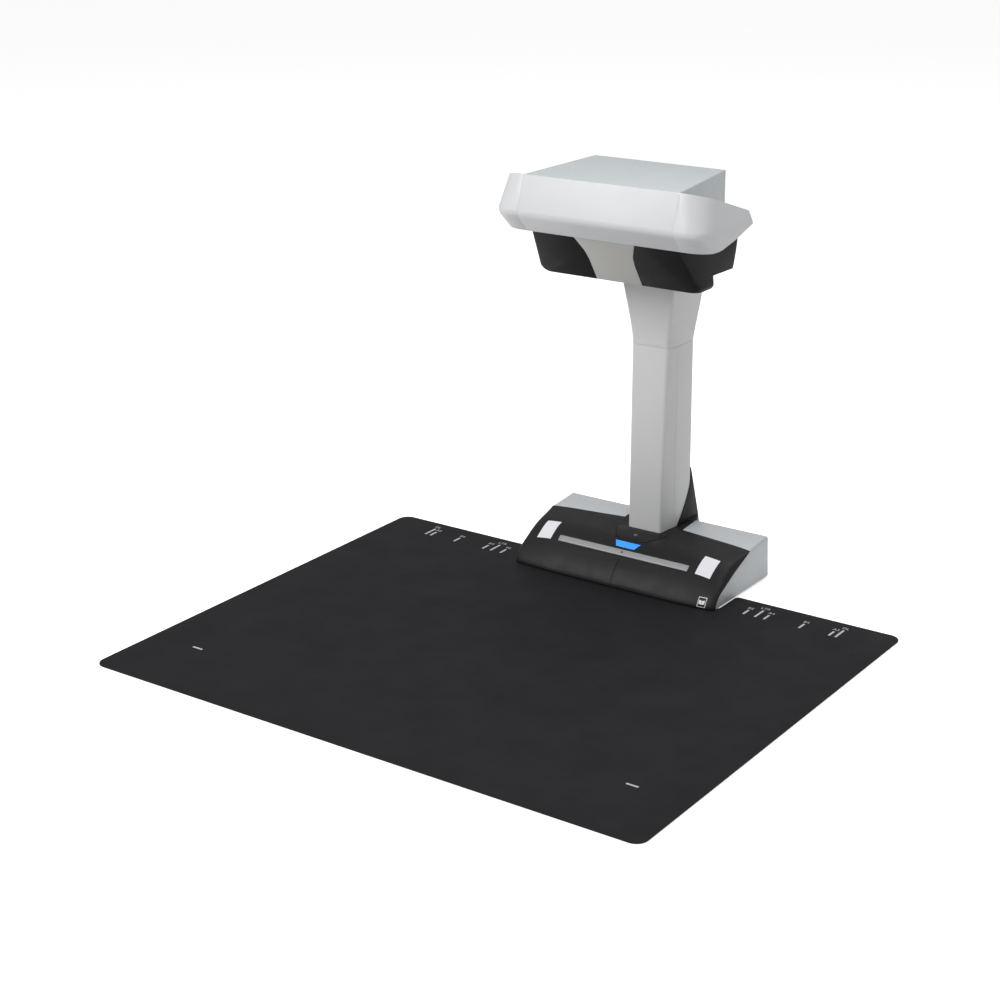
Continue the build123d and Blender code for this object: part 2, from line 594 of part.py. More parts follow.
def housing_parts():
    lip = [(y, max(z, VISOR_LOW_Z) + HOUSING_LIP) for y, z in VISOR_UNDERSIDE]
    above = profile(lip + [(40, lip[-1][1]), (40, 360), (-90, 360)], (-120, 120))
    visor_space = visor_form(-0.1) & block((-120, 120), (-90, 60), (VISOR_LOW_Z - 0.1, 340))
    shell = lower_form() - lower_form(WALL) - above
    shell -= visor_space - visor_form(WALL + 0.1)
    shell -= neck_form(-0.1)
    shell -= box_form(-0.1)
    lean = CHIN_LEAN * (VISOR_TOP_Z - CHIN_Z)
    face = profile([(-120, CHIN_Z - 5), (CHIN_FRONT_Y + 4, CHIN_Z - 5), (CHIN_FRONT_Y + 4, CHIN_Z),
                    (CHIN_FRONT_Y + 4 - lean, VISOR_TOP_Z), (-120, VISOR_TOP_Z)], (-40, 40))
    save("centre_band", shell & band_zone(0.08) & face)
    black = shell - band_zone()
    black -= block((-34.2, 34.2), (CHIN_BACK_Y - 3, 40), (UNDERSIDE_Z - 0.8, 340))
    low_wall = block((24, 25.6), (-60, CHIN_BACK_Y), (CHIN_Z, UNDERSIDE_Z - 0.8))
    high_wall = block((24, 25.6), (-60, -20.5), (UNDERSIDE_Z - 0.8, FRAME_Z[0] - 0.5))
    black += ((low_wall + high_wall) & lower_form()) - band_zone()
    right = black & block((0, 120), (-90, 60), (260, 340))
    save("lower_cover_right", right)
    save("lower_cover_left", mirrored(right))
    rear = rear_form() - rear_form(WALL)
    rear -= block((-14, 14), (0, 60), (270, FRAME_Z[1] + 3))
    rear -= visor_form(-0.1) & visor_limits(-0.1)
    save("head_rear_cover", rear - lower_form(-0.1))


def head_parts():
    save("head_top_cover", box_form() - box_form(WALL))
    visor_parts()
    housing_parts()


def underside_parts():
    panel = block((-34, 34), (-20, 12.4), (UNDERSIDE_Z - 0.6, UNDERSIDE_Z + 0.6))
    panel -= block((-DRUM_HALF - 0.8, DRUM_HALF + 0.8), (-30, AXIS_Y + 15.5), (280, 300))
    save("underside_panel", panel)


# ---- camera unit ----

def gear_face(teeth, phase):
    """Involute gear outline about the origin, one tooth centred on the phase angle, in degrees."""
    pitch = GEAR_MODULE * teeth / 2
    base = pitch * cos(radians(20))
    tip = pitch + 0.8 * GEAR_MODULE
    root = pitch - 1.1 * GEAR_MODULE

    def involute(r):
        pressure = acos(min(1.0, base / r))
        return tan(pressure) - pressure

    half = pi / (2 * teeth) - 0.05 / pitch
    flank = [max(base, root) + (tip - max(base, root)) * k / 4 for k in range(5)]
    points = []
    for tooth in range(teeth):
        middle = radians(phase) + 2 * pi * tooth / teeth
        rise = [(r, middle - half - involute(pitch) + involute(r)) for r in flank]
        fall = [(r, middle + half + involute(pitch) - involute(r)) for r in reversed(flank)]
        foot = [(root, rise[0][1] - 0.001)]
        heel = [(root, fall[-1][1] + 0.001)]
        points += [(r * cos(a), r * sin(a)) for r, a in foot + rise + fall + heel]
    return make_face(Polyline(*points, close=True))


def gear(teeth, phase, bore, x, y, z):
    """A gear about an X axis: its outline lies in the YZ plane."""
    solid = extrude(Plane.YZ.offset(x[0]) * gear_face(teeth, phase), x[1] - x[0])
    solid = Pos(0, y, z) * solid
    if bore:
        solid -= rod(bore, (x[0] - 1, x[1] + 1), y, z)
    return solid


PITCH_DISTANCE = GEAR_MODULE * (GEAR_TEETH + PINION_TEETH) / 2
PINION_Y = AXIS_Y + PITCH_DISTANCE * cos(radians(MESH_ANGLE))
PINION_Z = AXIS_Z + PITCH_DISTANCE * sin(radians(MESH_ANGLE))


def camera_parts():
    drum = rod(DRUM_R, (-DRUM_HALF, DRUM_HALF), AXIS_Y, AXIS_Z)
    drum -= block((-40, 40), (AXIS_Y - 20, AXIS_Y + 20), (AXIS_Z - 30, AXIS_Z - DRUM_FLAT))
    hollow = rod(DRUM_R - DRUM_WALL, (2 - DRUM_HALF, DRUM_HALF - 2), AXIS_Y, AXIS_Z)
    hollow -= block((-40, 40), (AXIS_Y - 20, AXIS_Y + 20), (AXIS_Z - 30, AXIS_Z - DRUM_FLAT + 1.6))
    drum -= hollow
    drum -= post(7.0, 0, AXIS_Y, (AXIS_Z - 20, AXIS_Z - 10))
    drum -= both(block((10, 18), (AXIS_Y - 3.5, AXIS_Y + 3.5), (AXIS_Z - 20, AXIS_Z - 10)))
    shaft_holes = rod(SHAFT_R, (-40, 40), AXIS_Y, AXIS_Z)
    drum -= shaft_holes - rod(SHAFT_R + 1, (2.5 - DRUM_HALF, DRUM_HALF - 2.5), AXIS_Y, AXIS_Z)
    save("scan_drum", drum)
    save("drum_shafts", both(rod(SHAFT_R, (DRUM_HALF - 2, BRACKET_X[1] + 0.6), AXIS_Y, AXIS_Z)))
    low = AXIS_Z - DRUM_FLAT
    barrel = post(7.0, 0, AXIS_Y, (low - 0.8, AXIS_Z + 2), bore=5.6)
    save("lens_barrel", barrel)
    save("lens_glass", post(5.6, 0, AXIS_Y, (low + 0.4, low + 2.4)))
    save("led_lamps", both(block((10, 18), (AXIS_Y - 3.5, AXIS_Y + 3.5), (low - 0.3, low + 2.2))))
    save("sensor_board", block((-17, 17), (AXIS_Y - 9, AXIS_Y + 9), (AXIS_Z + 2, AXIS_Z + 3.6)))
    save("drum_gear", gear(GEAR_TEETH, MESH_ANGLE, SHAFT_R, GEAR_X, AXIS_Y, AXIS_Z))
    phase = MESH_ANGLE + 180 + 180 / PINION_TEETH
    pinion = gear(PINION_TEETH, phase, 0, GEAR_X, PINION_Y, PINION_Z)
    save("drive_pinion", pinion + rod(1.0, (GEAR_X[1], 36.5), PINION_Y, PINION_Z))
    bushing = rod(SHAFT_R + 2, BRACKET_X, AXIS_Y, AXIS_Z, bore=SHAFT_R + RUN_GAP)
    save("drum_bushings", both(bushing))
    low_plate = block(BRACKET_X, (AXIS_Y - 9, AXIS_Y + 9), (291.5, 306))
    low_plate -= rod(SHAFT_R + 2, (BRACKET_X[0] - 1, BRACKET_X[1] + 1), AXIS_Y, AXIS_Z)
    motor_ear = block(BRACKET_X, (AXIS_Y - 9, AXIS_Y + 17), (306, 319))
    motor_ear -= rod(2.0, (30, 40), PINION_Y, PINION_Z)
    save("drum_brackets", group([low_plate + motor_ear, mirrored(low_plate)]))
    motor = rod(7.5, (BRACKET_X[1], BRACKET_X[1] + 20), PINION_Y, PINION_Z)
    motor -= rod(1.0 + RUN_GAP, (BRACKET_X[1] - 1, 37), PINION_Y, PINION_Z)
    save("drive_motor", motor)


def head_frame():
    plate = block((-66, 66), (-43, 10), FRAME_Z)
    plate += block((-SPINE_HALF, SPINE_HALF), (5, SPINE_Y[1]), FRAME_Z)
    plate -= block((-BRACKET_X[1], BRACKET_X[1]), (AXIS_Y - 17, 9), (300, 310))
    plate -= block((BRACKET_X[1] - 1, BRACKET_X[1] + 21), (-8, 9), (300, 310))
    save("head_frame", plate)
    spots = [(8.5, 27), (-8.5, 27), (8.5, 37), (-8.5, 37)]
    save("head_screws", group(post(2.6, x, y, (FRAME_Z[1], FRAME_Z[1] + 1.8)) for x, y in spots))


# ---- background pad ----

MARKS = {128.5: 10.0, 139.7: 16.2, 148.5: 10.0, 182.0: 10.0, 210.0: 10.0, 215.9: 16.2}
MARK_FRONT_Y = -30.0
MARK_WIDTH = 2.0
TICK = (213.0, -346.3, 10.5)


def mark_solids(z):
    """Printed paper-size marks on one side: bars beside the base and one tick near the front."""
    bars = [block((x - MARK_WIDTH / 2, x + MARK_WIDTH / 2), (MARK_FRONT_Y, MARK_FRONT_Y + length), z)
            for x, length in MARKS.items()]
    x, y, length = TICK
    tick = block((x - length / 2, x + length / 2), (y - MARK_WIDTH / 2, y + MARK_WIDTH / 2), z)
    return bars + [tick]


def pad_parts():
    pad = block((-PAD_WIDTH / 2, PAD_WIDTH / 2), (-PAD_DEPTH, 0), (0, PAD_THICK))
    half = HALF_BASE + NOTCH_GAP
    notch = block((-half, half), (-NOTCH_DEPTH, 10), (-1, 5))
    pad = fillet(pad.edges().filter_by(Axis.Z), PAD_CORNER_R)
    pad -= notch
    mouth = [e for e in pad.edges().filter_by(Axis.Z) if abs(abs(e.center().X) - half) < 0.1]
    pad = fillet(mouth, 4.0)
    pockets = mark_solids((PAD_THICK - 0.2, 5))
    for pocket in pockets:
        pad -= pocket
        pad -= mirrored(pocket)
    save("background_pad", pad)
    marks = mark_solids((PAD_THICK - 0.2, PAD_THICK + 0.02))
    save("pad_size_marks", group(marks + [mirrored(m) for m in marks]))


form = base_form()
column = column_form()
region = fin_curve_region()
base_parts(form, column_form(-FIT_GAP))
cover = silver_cover()
save("base_cover_right", cover)
save("base_cover_left", mirrored(cover))
base_inside()
column_parts(column, region)
spine_parts()
fin_parts(region)
socket_parts()
head_parts()
underside_parts()
camera_parts()
head_frame()
pad_parts()
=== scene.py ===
import json
from math import cos, pi, radians, sin

import bmesh
import bpy
from mathutils import Matrix, Vector
from mathutils.bvhtree import BVHTree


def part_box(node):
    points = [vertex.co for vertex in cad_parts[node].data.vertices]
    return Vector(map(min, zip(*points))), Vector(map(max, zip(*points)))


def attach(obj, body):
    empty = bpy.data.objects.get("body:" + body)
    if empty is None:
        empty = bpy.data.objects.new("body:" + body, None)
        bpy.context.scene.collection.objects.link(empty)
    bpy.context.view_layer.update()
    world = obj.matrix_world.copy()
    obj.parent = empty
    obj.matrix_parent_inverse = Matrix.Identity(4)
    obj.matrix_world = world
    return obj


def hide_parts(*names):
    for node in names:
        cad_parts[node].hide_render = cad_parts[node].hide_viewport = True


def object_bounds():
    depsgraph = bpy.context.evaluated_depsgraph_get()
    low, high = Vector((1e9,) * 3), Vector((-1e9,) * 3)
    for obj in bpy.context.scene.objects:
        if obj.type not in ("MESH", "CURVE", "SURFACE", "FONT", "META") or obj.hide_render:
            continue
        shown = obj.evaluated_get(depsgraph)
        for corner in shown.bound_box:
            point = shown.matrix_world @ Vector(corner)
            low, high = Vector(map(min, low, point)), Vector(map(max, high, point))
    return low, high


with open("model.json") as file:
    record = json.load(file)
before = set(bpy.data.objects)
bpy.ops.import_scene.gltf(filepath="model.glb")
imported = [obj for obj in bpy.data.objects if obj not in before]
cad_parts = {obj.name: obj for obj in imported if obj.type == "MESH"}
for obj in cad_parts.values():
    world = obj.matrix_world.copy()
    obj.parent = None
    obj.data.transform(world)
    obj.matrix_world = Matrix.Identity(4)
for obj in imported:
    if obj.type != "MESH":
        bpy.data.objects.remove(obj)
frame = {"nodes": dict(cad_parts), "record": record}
NODES = frame["nodes"]
BODIES = frame["record"]["behaviour"]["bodies"]
SLOT_OF = {part["node"]: part["material_slot"] for part in frame["record"]["subparts"]}
BODY_OF = {node: body for body, members in BODIES.items() for node in members}
CAD_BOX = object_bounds()
MM = 0.001

PAD_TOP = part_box("background_pad")[1].z


# ---- camera ----

CAMERA_PLACE = Vector((0.8837, -1.2749, 0.6890))
CAMERA_AIM = Vector((-0.5471, 0.7632, -0.3438))
CAMERA_ROLL = radians(-0.67)
SENSOR_WIDTH = 36.0
FOCAL_LENGTH = 72.16
NEAREST = 0.02


def make_camera():
    """The photograph's view: from the front right, above the head's height."""
    data = bpy.data.cameras.new("camera")
    data.sensor_width = SENSOR_WIDTH
    data.lens = FOCAL_LENGTH
    data.clip_start = NEAREST
    camera = bpy.data.objects.new("camera", data)
    bpy.context.scene.collection.objects.link(camera)
    aim = CAMERA_AIM.normalized().to_track_quat("-Z", "Y").to_matrix()
    turn = aim @ Matrix.Rotation(CAMERA_ROLL, 3, "Z")
    camera.matrix_world = Matrix.Translation(CAMERA_PLACE) @ turn.to_4x4()
    bpy.context.scene.camera = camera


# ---- materials ----

# The part of a texture's 0 to 1 output that is stretched over a whole change of colour or gloss.
TEXTURE_LOW = 0.3
TEXTURE_HIGH = 0.7


class Surface:
    """A procedural material under construction: a Principled shader and the textures that feed it."""

    def __init__(self, name, color, roughness):
        self.material = bpy.data.materials.new(name)
        self.material.use_nodes = True
        self.tree = self.material.node_tree
        self.shader = self.tree.nodes["Principled BSDF"]
        self.color = color
        self.coords = self.tree.nodes.new("ShaderNodeTexCoord")
        self.set("Base Color", (*color, 1.0))
        self.set("Roughness", roughness)
        self.bump = None

    def set(self, socket, value):
        self.shader.inputs[socket].default_value = value
        return self

    def node(self, kind, **settings):
        node = self.tree.nodes.new(kind)
        for key, value in settings.items():
            if key in node.inputs:
                node.inputs[key].default_value = value
            else:
                setattr(node, key, value)
        return node

    def link(self, source, target):
        self.tree.links.new(source, target)

    def noise(self, scale, detail=2.0, stretch=None):
        """A noise texture in object space; scale is in features per metre."""
        texture = self.node("ShaderNodeTexNoise", Scale=scale, Detail=detail)
        source = self.coords.outputs["Object"]
        if stretch:
            mapping = self.node("ShaderNodeMapping")
            mapping.inputs["Scale"].default_value = stretch
            self.link(source, mapping.inputs["Vector"])
            source = mapping.outputs["Vector"]
        self.link(source, texture.inputs["Vector"])
        return texture.outputs["Fac"]

    def cells(self, scale, output="Distance"):
        """A Voronoi texture in object space."""
        texture = self.node("ShaderNodeTexVoronoi", Scale=scale)
        self.link(self.coords.outputs["Object"], texture.inputs["Vector"])
        return texture.outputs[output]

    def tint(self, factor, low, high):
        """Varies the base colour between two brightness levels."""
        ramp = self.node("ShaderNodeValToRGB")
        dark, bright = ramp.color_ramp.elements
        dark.position = TEXTURE_LOW
        bright.position = TEXTURE_HIGH
        dark.color = (*(c * low for c in self.color), 1.0)
        bright.color = (*(min(1.0, c * high) for c in self.color), 1.0)
        self.link(factor, ramp.inputs["Fac"])
        self.link(ramp.outputs["Color"], self.shader.inputs["Base Color"])
        return self

    def gloss(self, factor, low, high):
        """Varies the roughness between two values."""
        spread = self.node("ShaderNodeMapRange")
        spread.inputs["From Min"].default_value = TEXTURE_LOW
        spread.inputs["From Max"].default_value = TEXTURE_HIGH
        spread.inputs["To Min"].default_value = low
        spread.inputs["To Max"].default_value = high
        self.link(factor, spread.inputs["Value"])
        self.link(spread.outputs["Result"], self.shader.inputs["Roughness"])
        return self

    def relief(self, height, distance, strength=1.0):
        """Adds a layer of bump; distance is the height of the relief in metres."""
        bump = self.node("ShaderNodeBump", Strength=strength, Distance=distance)
        self.link(height, bump.inputs["Height"])
        if self.bump:
            self.link(self.bump.outputs["Normal"], bump.inputs["Normal"])
        self.link(bump.outputs["Normal"], self.shader.inputs["Normal"])
        self.bump = bump
        return self


def moulded(name, color, roughness, grain=1600.0, depth=0.00002, spread=0.03):
    """Moulded plastic: fine grain, slow colour drift and slightly uneven gloss."""
    surface = Surface(name, color, roughness)
    surface.tint(surface.noise(14.0, 3.0), 1.0 - spread, 1.0 + spread)
    surface.gloss(surface.noise(60.0, 4.0), roughness - 0.04, roughness + 0.05)
    surface.relief(surface.noise(grain, 3.0), depth, 0.5)
    surface.relief(surface.noise(35.0, 2.0), 0.00008, 0.25)
    return surface


def painted_silver(name, color, roughness):
    """Silver paint on plastic: metallic flakes under a satin coat."""
    surface = Surface(name, color, roughness)
    surface.set("Metallic", 0.25)
    surface.set("Coat Weight", 0.25)
    surface.set("Coat Roughness", 0.3)
    surface.tint(surface.cells(3200.0, "Color"), 0.9, 1.08)
    surface.gloss(surface.noise(50.0, 3.0), roughness - 0.04, roughness + 0.05)
    surface.relief(surface.cells(3200.0), 0.00001, 0.35)
    surface.relief(surface.noise(30.0, 2.0), 0.00006, 0.2)
    return surface


def sheet_metal(name, color, roughness):
    """Rolled or turned metal: long faint streaks in colour, gloss and relief."""
    surface = Surface(name, color, roughness)
    surface.set("Metallic", 1.0)
    streaks = surface.noise(900.0, 2.0, stretch=(1.0, 0.06, 1.0))
    surface.tint(streaks, 0.88, 1.08)
    surface.gloss(streaks, roughness - 0.06, roughness + 0.08)
    surface.relief(streaks, 0.000008, 0.5)
    return surface


def circuit_board(name):
    """Green solder mask with faint copper tracks under it."""
    surface = Surface(name, (0.02, 0.17, 0.075), 0.35)
    tracks = surface.node("ShaderNodeTexBrick", Scale=260.0, offset=0.5)
    tracks.inputs["Color1"].default_value = (0.018, 0.16, 0.07, 1.0)
    tracks.inputs["Color2"].default_value = (0.02, 0.19, 0.08, 1.0)
    tracks.inputs["Mortar"].default_value = (0.05, 0.28, 0.12, 1.0)
    surface.link(surface.coords.outputs["Object"], tracks.inputs["Vector"])
    surface.link(tracks.outputs["Color"], surface.shader.inputs["Base Color"])
    surface.relief(tracks.outputs["Fac"], 0.00003, 0.6)
    return surface


def lit_blue(name):
    """Blue light guide that glows by itself, with a slightly uneven blue."""
    surface = Surface(name, (0.02, 0.2, 0.85), 0.25)
    glow = surface.node("ShaderNodeValToRGB")
    glow.color_ramp.elements[0].color = (0.015, 0.22, 0.95, 1.0)
    glow.color_ramp.elements[1].color = (0.05, 0.42, 1.0, 1.0)
    surface.link(surface.noise(90.0, 1.0), glow.inputs["Fac"])
    surface.link(glow.outputs["Color"], surface.shader.inputs["Emission Color"])
    surface.set("Emission Strength", 0.6)
    surface.set("Coat Weight", 0.5)
    surface.relief(surface.cells(1500.0), 0.00002, 0.4)
    return surface


def coated_glass(name):
    """Lens glass with a faint violet and green coating."""
    surface = Surface(name, (0.25, 0.22, 0.35), 0.03)
    surface.set("Transmission Weight", 0.7)
    surface.set("IOR", 1.6)
    surface.set("Coat Weight", 1.0)
    surface.set("Coat Roughness", 0.02)
    surface.tint(surface.noise(120.0, 1.0), 0.8, 1.2)
    return surface


def printed_pad(name):
    """Black pad: a printed film with a fine even grain and faint handling marks."""
    surface = Surface(name, (0.0075, 0.0068, 0.0095), 0.64)
    surface.set("Specular IOR Level", 0.22)
    surface.tint(surface.noise(9.0, 4.0), 0.9, 1.12)
    surface.gloss(surface.noise(22.0, 5.0), 0.56, 0.7)
    surface.relief(surface.cells(1100.0), 0.00003, 0.4)
    surface.relief(surface.noise(12.0, 2.0), 0.0002, 0.1)
    return surface


def make_materials():
    """One finished material for each slot of the record."""
    black = moulded("black_plastic", (0.008, 0.008, 0.0095), 0.5, grain=1300.0, spread=0.08)
    black.set("Specular IOR Level", 0.32)
    piano = moulded("black_gloss", (0.007, 0.007, 0.0085), 0.42, grain=400.0, depth=0.000002, spread=0.05)
    piano.set("Specular IOR Level", 0.25)
    return {
        "white_plastic": moulded("white_plastic", (0.66, 0.67, 0.685), 0.38, spread=0.015),
        "silver_top": painted_silver("silver_top", (0.62, 0.66, 0.675), 0.42),
        "silver_base": painted_silver("silver_base", (0.56, 0.585, 0.605), 0.4),
        "grey_shell": moulded("grey_shell", (0.7, 0.703, 0.7), 0.4, spread=0.015),
        "warm_grey": moulded("warm_grey", (0.53, 0.525, 0.505), 0.42, spread=0.02),
        "black_plastic": black,
        "black_gloss": piano,
        "button_silver": painted_silver("button_silver", (0.36, 0.365, 0.375), 0.42),
        "white_target": moulded("white_target", (0.84, 0.84, 0.88), 0.6, spread=0.01),
        "blue_lens": lit_blue("blue_lens"),
        "pad_sheet": printed_pad("pad_sheet"),
        "pad_print": moulded("pad_print", (0.5, 0.5, 0.5), 0.6, spread=0.05),
        "rubber": moulded("rubber", (0.025, 0.025, 0.025), 0.8, grain=900.0, depth=0.00005, spread=0.1),
        "steel": sheet_metal("steel", (0.6, 0.61, 0.62), 0.34),
        "cast_weight": moulded("cast_weight", (0.18, 0.18, 0.185), 0.7, grain=500.0, depth=0.0002,
                               spread=0.15),
        "bronze": sheet_metal("bronze", (0.6, 0.42, 0.2), 0.4),
        "gear_plastic": moulded("gear_plastic", (0.8, 0.78, 0.7), 0.35),
        "board": circuit_board("board"),
        "component": moulded("component", (0.02, 0.02, 0.02), 0.45),
        "lamp": moulded("lamp", (0.85, 0.85, 0.72), 0.15, depth=0.00001),
        "glass": coated_glass("glass"),
        "motor_metal": sheet_metal("motor_metal", (0.62, 0.62, 0.63), 0.28),
        "cable": moulded("cable", (0.75, 0.75, 0.72), 0.45),
        "socket_metal": sheet_metal("socket_metal", (0.7, 0.7, 0.71), 0.25),
    }


# ---- pieces made from CAD shapes ----

def add_piece(name, mesh, material, body):
    """Puts a finished mesh in the scene as a piece that rides on a body."""
    piece = bpy.data.objects.new(name, mesh)
    bpy.context.scene.collection.objects.link(piece)
    mesh.materials.clear()
    mesh.materials.append(material)
    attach(piece, body)
    return piece


# Corners closer than SAME_PLACE are joined, and faces within SAME_PLANE of each other become one. An edge
# that bends more than CORNER_ANGLE is rounded.
SAME_PLACE = 0.000002
SAME_PLANE = radians(0.7)
CORNER_ANGLE = radians(28.0)
SHADING_ANGLE = radians(34)
EDGE_SEGMENTS = 3


def softened(node, width):
    """The node's shape with its moulded edges rounded, which stands in for the sharp CAD one."""
    mesh = NODES[node].data.copy()
    mesh.name = node + "_look"
    work = bmesh.new()
    work.from_mesh(mesh)
    bmesh.ops.remove_doubles(work, verts=work.verts, dist=SAME_PLACE)
    bmesh.ops.dissolve_limit(work, angle_limit=SAME_PLANE, verts=work.verts, edges=work.edges)
    work.to_mesh(mesh)
    work.free()
    slot = SLOT_OF[node]
    piece = add_piece(node + "_look", mesh, MATERIALS[slot], BODY_OF[node])
    bevel = piece.modifiers.new("edges", "BEVEL")
    bevel.width = width
    bevel.segments = EDGE_SEGMENTS
    bevel.limit_method = "ANGLE"
    bevel.angle_limit = CORNER_ANGLE
    bevel.miter_outer = "MITER_ARC"
    apply_modifiers(piece)
    piece.data.shade_smooth()
    piece.data.set_sharp_from_angle(angle=SHADING_ANGLE)
    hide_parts(node)
    return piece


# How far each moulded piece's edges are rounded, in millimetres.
SOFTENED = {
    "visor_front": 0.7, "visor_end_right": 0.9, "visor_end_left": 0.9, "head_top_cover": 1.8,
    "head_rear_cover": 0.7, "centre_band": 0.4, "lower_cover_right": 0.6, "lower_cover_left": 0.6,
    "column_front_shell": 0.9, "column_rear_shell": 0.7, "neck_cover": 0.7, "tail_cover": 0.6,
    "base_cover_right": 0.7, "base_cover_left": 0.7, "front_cover": 0.5, "scan_button": 0.35,
    "stop_button": 0.45, "indicator_lens": 0.2, "scan_drum": 0.4,
    "lens_barrel": 0.3, "socket_panel": 0.2, "usb_socket": 0.12, "dc_inlet": 0.2, "rubber_feet": 0.4,
}


# ---- printed marks ----

PRINT_THICK = 0.04 * MM
PRINT_LIFT = 0.03 * MM
PRINT_START = 20 * MM
PRINT_REACH = 60 * MM
LONG_EDGE = 2 * MM
LABEL_SIZE = 5.2 * MM
LABEL_LIFT = 1.6 * MM
SAME_MARK = 1.6 * MM
HALF_PAPER = {"B5": 128.5 * MM, "LTR": 139.7 * MM, "A4": 148.5 * MM, "B4": 182.0 * MM, "A3": 210.0 * MM,
              "DL": 215.9 * MM}


def surface_tree(node):
    """A search tree over a CAD node's surface."""
    mesh = bmesh.new()
    mesh.from_mesh(NODES[node].data)
    tree = BVHTree.FromBMesh(mesh)
    mesh.free()
    return tree


def printed(name, faces, place, node, direction, slot):
    """A thin printed shape: flat outlines, in metres, laid on a node's surface along a direction."""
    toward = Vector(direction).normalized()
    right = Vector((1, 0, 0))
    up = right.cross(toward)
    tree = surface_tree(node)
    shape = bmesh.new()
    for outline in faces:
        shape.faces.new([shape.verts.new((x, y, 0)) for x, y in outline])
    edges = [edge for edge in shape.edges if edge.calc_length() > LONG_EDGE]
    bmesh.ops.subdivide_edges(shape, edges=edges, cuts=3, use_grid_fill=True)
    bmesh.ops.triangulate(shape, faces=shape.faces)
    for vert in shape.verts:
        start = Vector(place) + right * vert.co.x + up * vert.co.y - toward * PRINT_START
        hit = tree.ray_cast(start, toward, PRINT_REACH)[0]
        if hit is None:
            raise RuntimeError(f"{name} misses {node}")
        vert.co = hit - toward * PRINT_LIFT
    mesh = bpy.data.meshes.new(name)
    shape.to_mesh(mesh)
    shape.free()
    piece = add_piece(name, mesh, MATERIALS[slot], BODY_OF[node])
    thick = piece.modifiers.new("ink", "SOLIDIFY")
    thick.thickness = PRINT_THICK
    thick.offset = 0.0
    apply_modifiers(piece)
    return piece


def apply_modifiers(piece):
    """Keeps the shape that a piece's modifiers give it, and removes them."""
    graph = bpy.context.evaluated_depsgraph_get()
    final = bpy.data.meshes.new_from_object(piece.evaluated_get(graph))
    piece.modifiers.clear()
    piece.data = final


def bar(x0, y0, x1, y1):
    """A rectangle's corners in order."""
    return [(x0, y0), (x1, y0), (x1, y1), (x0, y1)]


def label(name, text, x, y):
    """A paper-size name printed on the pad, read from the front."""
    data = bpy.data.curves.new(name, "FONT")
    data.body = text
    data.size = LABEL_SIZE
    data.align_x = "CENTER"
    data.align_y = "BOTTOM"
    data.extrude = PRINT_THICK / 2
    data.resolution_u = 4
    letters = bpy.data.objects.new(name + "_text", data)
    bpy.context.scene.collection.objects.link(letters)
    graph = bpy.context.evaluated_depsgraph_get()
    mesh = bpy.data.meshes.new_from_object(letters.evaluated_get(graph))
    bpy.data.objects.remove(letters)
    mesh.transform(Matrix.Translation((x, y, PAD_TOP + PRINT_LIFT)))
    mesh.name = name
    return add_piece(name, mesh, MATERIALS["pad_print"], "pad")


def mark_ends():
    """The rear end of each printed bar on the pad, by its distance from the middle."""
    spots = {}
    for vert in NODES["pad_size_marks"].data.vertices:
        key = round(abs(vert.co.x) / MM)
        spots[key] = max(spots.get(key, vert.co.y), vert.co.y)
    return spots


def make_labels():
    """The paper-size names, each just behind its two marks on the pad."""
    ends = mark_ends()
    for text, half in HALF_PAPER.items():
        rear = max(y for key, y in ends.items() if abs(key * MM - half) < SAME_MARK)
        for side, sign in (("right", 1), ("left", -1)):
            label(f"label_{text}_{side}", text, sign * half, rear + LABEL_LIFT)


# Flat shapes in millimetres, and the sizes and places of the others.
ARROW = [(-1.1, -1.0), (1.0, 0.0), (-1.1, 1.0)]
PAGE = [(0.0, -1.9), (2.6, -1.3), (2.6, 1.7), (0.0, 1.1)]
SQUARE_HALF = 1.2 * MM
SQUARE_LINE = 0.35 * MM
SQUARE_BACK = 11.0 * MM
BOOK_HALF = 3.9 * MM
BOOK_LINE = 0.5 * MM
BOOK_FROM_END = 12.0 * MM
BOOK_HEIGHT = 5.0 * MM
PAGE_GAP = 0.3 * MM


def make_symbols():
    """An arrow on the scan bar, a square on the stop key and an open book low on the front."""
    down = (0, 0, -1)
    low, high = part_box("scan_button")
    middle = (low.y + high.y) / 2
    arrow = [[(x * MM, y * MM) for x, y in ARROW]]
    printed("scan_symbol", arrow, (0, middle, high.z), "scan_button", down, "component")
    low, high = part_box("stop_button")
    square = frame_outline(SQUARE_HALF, SQUARE_LINE)
    printed("stop_symbol", square, (0, low.y + SQUARE_BACK, high.z), "stop_button", down, "pad_print")
    low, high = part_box("front_cover")
    right_page = [(x * MM, y * MM) for x, y in PAGE]
    left_page = [(-x - PAGE_GAP, y) for x, y in reversed(right_page)]
    book = frame_outline(BOOK_HALF, BOOK_LINE) + [right_page, left_page]
    place = (high.x - BOOK_FROM_END, low.y, low.z + BOOK_HEIGHT)
    printed("book_symbol", book, place, "front_cover", (0, 1, 0), "white_target")


def frame_outline(half, line):
    """A square outline made of four bars."""
    inner = half - line
    front = bar(-half, -half, half, -inner)
    rear = bar(-half, inner, half, half)
    left = bar(-half, -inner, -inner, inner)
    right = bar(inner, -inner, half, inner)
    return [front, rear, left, right]


# ---- small details ----

TURNED_SIDES = 40
TURNED_SHADING_ANGLE = radians(30)


